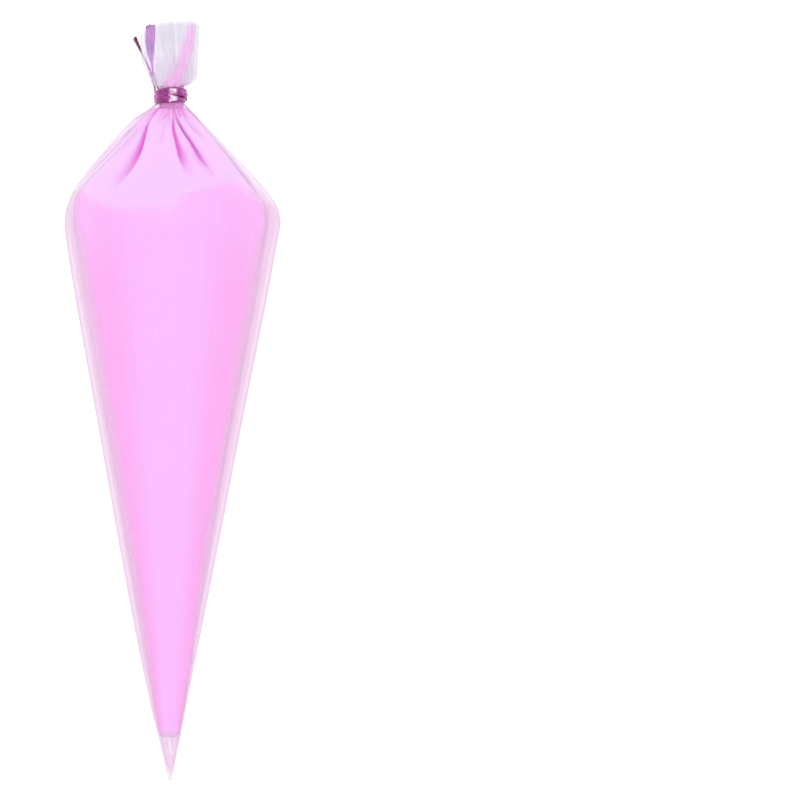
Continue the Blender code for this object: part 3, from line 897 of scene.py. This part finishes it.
def icingMaterial():
    made, tree, shader = newMaterial("icing")
    mottle = grain(tree, 60, 4, 0.6)
    mottle = sums(tree, "MULTIPLY", mottle, icingLook["mottle"])
    base = mixColour(tree, mottle, icingLook["body"], icingLook["pale"])
    base = mixColour(tree, attribute(tree, "flank"), base, icingLook["flank"])
    cloudy = sums(tree, "MULTIPLY_ADD", grain(tree, 26, 3, 0.6), 3.0, -1.0, clamp=True)
    pale = mixColour(tree, cloudy, icingLook["pale"], icingLook["lilac"])
    base = mixColour(tree, sums(tree, "MULTIPLY", attribute(tree, "dry"), icingLook["dry"]), base, pale)
    base = mixColour(tree, attribute(tree, "end"), base, icingLook["end"])
    # the folds turn deeper magenta as painted shade
    foldShade = attribute(tree, "foldShade")
    depth = sums(tree, "MULTIPLY", foldShade, icingLook["foldShadeViolet"], clamp=True)
    deep = mixColour(tree, depth, icingLook["violet"], icingLook["deep"])
    base = mixColour(tree, sums(tree, "MULTIPLY", foldShade, icingLook["foldShadeDark"], clamp=True), base, deep)
    feed(tree, shader.inputs["Base Color"], base)
    shader.inputs["Roughness"].default_value = icingLook["roughness"]
    shader.inputs["Subsurface Weight"].default_value = icingLook["subsurface"]
    shader.inputs["Subsurface Radius"].default_value = icingLook["subsurfaceRadius"]
    shader.inputs["Subsurface Scale"].default_value = icingLook["subsurfaceScale"]
    feed(tree, shader.inputs["Normal"], bump(tree, grain(tree, 900, 2, 0.5), 0.15, 0.0002))
    return made


filmLook = {
    "clear": (0.93, 0.72, 0.92),
    # masks in the order in which they are laid on: (mask, colour, how much it hides); the dark magenta is
    # painted shade in the folds, and the near-white is mostly painted highlight
    "laidOn": [("veil", (0.99, 0.72, 0.94), 0.8), ("clear", (0.95, 0.70, 0.93), 0.3),
               ("dry", (0.98, 0.80, 1.0), 0.12), ("foldShade", (0.93, 0.14, 0.82), 0.35),
               ("pale", (0.97, 0.92, 0.97), 0.6), ("line", (0.68, 0.30, 0.63), 0.7)],
    "streaks": 0.04,
    "glance": 0.12,
    "glanceBlend": 0.3,
    "roughness": 0.12,
    "ior": 1.5,
}


def filmMaterial():
    made, tree, shader = newMaterial("clearFilm")
    streaks = filmStreaks(tree, 70, 4)
    base, alpha = filmLook["clear"], sums(tree, "MULTIPLY", streaks, filmLook["streaks"])
    for name, colour, weight in filmLook["laidOn"]:
        mask = attribute(tree, name)
        base = mixColour(tree, mask, base, colour)
        alpha = sums(tree, "MULTIPLY_ADD", mask, weight, alpha, clamp=True)
    glance = tree.nodes.new("ShaderNodeLayerWeight")
    glance.inputs["Blend"].default_value = filmLook["glanceBlend"]
    alpha = sums(tree, "MULTIPLY_ADD", glance.outputs["Facing"], filmLook["glance"], alpha, clamp=True)
    feed(tree, shader.inputs["Base Color"], base)
    feed(tree, shader.inputs["Alpha"], alpha)
    shader.inputs["Roughness"].default_value = filmLook["roughness"]
    shader.inputs["IOR"].default_value = filmLook["ior"]
    wrinkles = bump(tree, streaks, 0.3, 0.0006)
    feed(tree, shader.inputs["Normal"], bump(tree, grain(tree, 160, 3, 0.5), 0.15, 0.0004, wrinkles))
    return made


mouthLook = {"film": (0.74, 0.70, 0.82), "rim": (0.90, 0.89, 0.91), "residue": (1.0, 0.50, 0.93),
             "pressed": (0.62, 0.42, 0.90), "pressedPink": (0.88, 0.46, 0.92), "patch": 0.85,
             "hides": 0.22, "streaks": 0.22, "rimHides": -0.12, "patchHides": -0.45, "residueHides": 0.55,
             "roughness": 0.15, "ior": 1.5}


def mouthMaterial():
    made, tree, shader = newMaterial("mouthFilm")
    streaks = filmStreaks(tree, 26, 1.6)
    rim = attribute(tree, "rim")
    base = mixColour(tree, rim, mouthLook["film"], mouthLook["rim"])
    patchy = sums(tree, "ADD", grain(tree, 260, 4, 0.6), 0.4)
    mixed = sums(tree, "MULTIPLY_ADD", grain(tree, 190, 2, 0.5), 4.0, -1.6, clamp=True)
    violet = mixColour(tree, mixed, mouthLook["pressed"], mouthLook["pressedPink"])
    pressed = attribute(tree, "pressed")
    base = mixColour(tree, sums(tree, "MULTIPLY", pressed, mouthLook["patch"]), base, violet)
    smear = sums(tree, "MULTIPLY", attribute(tree, "residue"), patchy, clamp=True)
    base = mixColour(tree, smear, base, mouthLook["residue"])
    alpha = sums(tree, "MULTIPLY_ADD", streaks, mouthLook["streaks"], mouthLook["hides"])
    alpha = sums(tree, "MULTIPLY_ADD", rim, mouthLook["rimHides"], alpha)
    held = sums(tree, "MULTIPLY_ADD", pressed, mouthLook["patchHides"], 1.0)
    alpha = sums(tree, "MULTIPLY", alpha, held)
    alpha = sums(tree, "MULTIPLY_ADD", smear, mouthLook["residueHides"], alpha, clamp=True)
    feed(tree, shader.inputs["Base Color"], base)
    feed(tree, shader.inputs["Alpha"], alpha)
    shader.inputs["Roughness"].default_value = mouthLook["roughness"]
    shader.inputs["IOR"].default_value = mouthLook["ior"]
    feed(tree, shader.inputs["Normal"], bump(tree, streaks, 0.5, 0.0006))
    return made


weldLook = {"low": (0.50, 0.42, 0.50), "high": (0.62, 0.52, 0.60), "crimpScale": 350.0, "distortion": 0.6,
            "hides": 0.14, "crimpHides": 0.08, "nearHides": 0.2, "roughness": 0.3}


def weldMaterial():
    made, tree, shader = newMaterial("weldedFilm")
    place = tree.nodes.new("ShaderNodeTexCoord")
    crimp = tree.nodes.new("ShaderNodeTexWave")
    crimp.bands_direction = "Y"
    crimp.inputs["Scale"].default_value = weldLook["crimpScale"]
    crimp.inputs["Distortion"].default_value = weldLook["distortion"]
    tree.links.new(place.outputs["Object"], crimp.inputs["Vector"])
    base = mixColour(tree, crimp.outputs["Fac"], weldLook["low"], weldLook["high"])
    feed(tree, shader.inputs["Base Color"], base)
    alpha = sums(tree, "MULTIPLY_ADD", crimp.outputs["Fac"], weldLook["crimpHides"], weldLook["hides"])
    alpha = sums(tree, "MULTIPLY_ADD", attribute(tree, "near"), weldLook["nearHides"], alpha)
    feed(tree, shader.inputs["Alpha"], alpha)
    shader.inputs["Roughness"].default_value = weldLook["roughness"]
    feed(tree, shader.inputs["Normal"], bump(tree, crimp.outputs["Fac"], 0.4, 0.0002))
    return made


# the near-white colour is a painted highlight on the top of the band; shade is painted shade on its edges and
# on the left tail
foilLook = {"dark": (0.17, 0.012, 0.11), "body": (0.47, 0.07, 0.38), "wearAndHighlight": (0.98, 0.88, 0.98),
            "shade": (0.13, 0.01, 0.07), "metal": 0.9, "smoothest": 0.18, "rougher": 0.2,
            "coat": 0.6, "coatRoughness": 0.15}


def foilMaterial():
    made, tree, shader = newMaterial("magentaFoil")
    crinkled = grain(tree, 420, 4, 0.65)
    mottled = sums(tree, "MULTIPLY_ADD", crinkled, 3.6, -1.25, clamp=True)
    base = mixColour(tree, mottled, foilLook["dark"], foilLook["body"])
    # blotchy patches of painted highlight on the top of the band
    patches = sums(tree, "MULTIPLY_ADD", grain(tree, 500, 2, 0.5), 5.0, -1.7, clamp=True)
    wearAndHighlight = sums(tree, "MULTIPLY", attribute(tree, "paintedHighlight"), patches)
    base = mixColour(tree, attribute(tree, "shade"), base, foilLook["shade"])
    base = mixColour(tree, wearAndHighlight, base, foilLook["wearAndHighlight"])
    feed(tree, shader.inputs["Base Color"], base)
    shader.inputs["Metallic"].default_value = foilLook["metal"]
    rough = sums(tree, "MULTIPLY_ADD", crinkled, foilLook["rougher"], foilLook["smoothest"])
    feed(tree, shader.inputs["Roughness"], rough)
    shader.inputs["Coat Weight"].default_value = foilLook["coat"]
    shader.inputs["Coat Roughness"].default_value = foilLook["coatRoughness"]
    feed(tree, shader.inputs["Normal"], bump(tree, grain(tree, 1100, 3, 0.6), 0.5, 0.00015))
    return made


steelLook = {"dark": (0.30, 0.29, 0.28), "bright": (0.55, 0.54, 0.52), "smoothest": 0.25, "rougher": 0.3}


def steelMaterial():
    made, tree, shader = newMaterial("wireSteel")
    wearAndHighlight = grain(tree, 2500, 3, 0.6)
    feed(tree, shader.inputs["Base Color"], mixColour(tree, wearAndHighlight, steelLook["dark"], steelLook["bright"]))
    shader.inputs["Metallic"].default_value = 1.0
    rough = sums(tree, "MULTIPLY_ADD", wearAndHighlight, steelLook["rougher"], steelLook["smoothest"])
    feed(tree, shader.inputs["Roughness"], rough)
    return made


# a bright, almost shadowless room in metres, with a floor that glows a little
room = {"horizon": 0.93, "zenith": 0.97, "keyAt": (-0.12, 0.20, 1.9), "keyAim": (0, 0, 0.03),
        "keySize": 0.22, "keyPower": 5, "floorSize": 8, "floorDrop": 0.00005, "floor": 0.45,
        "floorRoughness": 0.9, "floorShine": 0.1, "floorGlow": 0.76}


def addFloor():
    bpy.ops.mesh.primitive_plane_add(size=room["floorSize"], location=(0, 0, -room["floorDrop"]))
    floor = bpy.context.object
    floor.name = "floor"
    made, _, shader = newMaterial("paleFloor")
    shader.inputs["Base Color"].default_value = (room["floor"], room["floor"], room["floor"], 1)
    shader.inputs["Roughness"].default_value = room["floorRoughness"]
    shader.inputs["Specular IOR Level"].default_value = room["floorShine"]
    shader.inputs["Emission Color"].default_value = (1, 1, 1, 1)
    shader.inputs["Emission Strength"].default_value = room["floorGlow"]
    floor.data.materials.append(made)
    print("floor laid")


def addLights():
    world = bpy.data.worlds.new("studio")
    bpy.context.scene.world = world
    world.use_nodes = True
    tree = world.node_tree
    place = tree.nodes.new("ShaderNodeTexCoord")
    parts = tree.nodes.new("ShaderNodeSeparateXYZ")
    tree.links.new(place.outputs["Generated"], parts.inputs[0])
    height = sums(tree, "MAXIMUM", parts.outputs["Z"], 0.0)
    glow = sums(tree, "MULTIPLY_ADD", height, room["zenith"] - room["horizon"], room["horizon"])
    feed(tree, tree.nodes["Background"].inputs["Color"], (1, 1, 1))
    feed(tree, tree.nodes["Background"].inputs["Strength"], glow)
    bpy.ops.object.light_add(type="AREA", location=room["keyAt"])
    key = bpy.context.object
    key.name = "softKey"
    key.data.shape, key.data.size = "SQUARE", room["keySize"]
    key.data.energy = room["keyPower"]
    aim = Vector(room["keyAim"]) - key.location
    key.rotation_mode = "QUATERNION"
    key.rotation_quaternion = aim.to_track_quat("-Z", "Y")
    key.visible_camera = False
    bpy.context.scene.view_settings.view_transform = "Standard"
    print("room lit")


placeCamera()
addFloor()
addLights()
film, weld, icingSkin = filmMaterial(), weldMaterial(), icingMaterial()
print("film and icing materials made")
makeIcing(icingSkin)
makePly("filmFront", 1, frontFolds, film, ["film_front", "tip_film_front"])
makePly("filmBack", -1, backFolds, film, ["film_back", "tip_film_back"])
makeSeam("seamLeft", -1, weld, ["side_weld_left", "tip_weld"])
makeSeam("seamRight", 1, weld, ["side_weld_right"])
mouthFilm = mouthMaterial()
makeMouthPly("mouthFront", 1, mouthFilm, "mouth_film_front")
makeMouthPly("mouthBack", -1, mouthFilm, "mouth_film_back")
makeMouthSeam("mouthSeamLeft", -1, weld, "mouth_weld_left")
makeMouthSeam("mouthSeamRight", 1, weld, "mouth_weld_right")
makeNeck(icingSkin)
makeTie(foilMaterial(), steelMaterial())
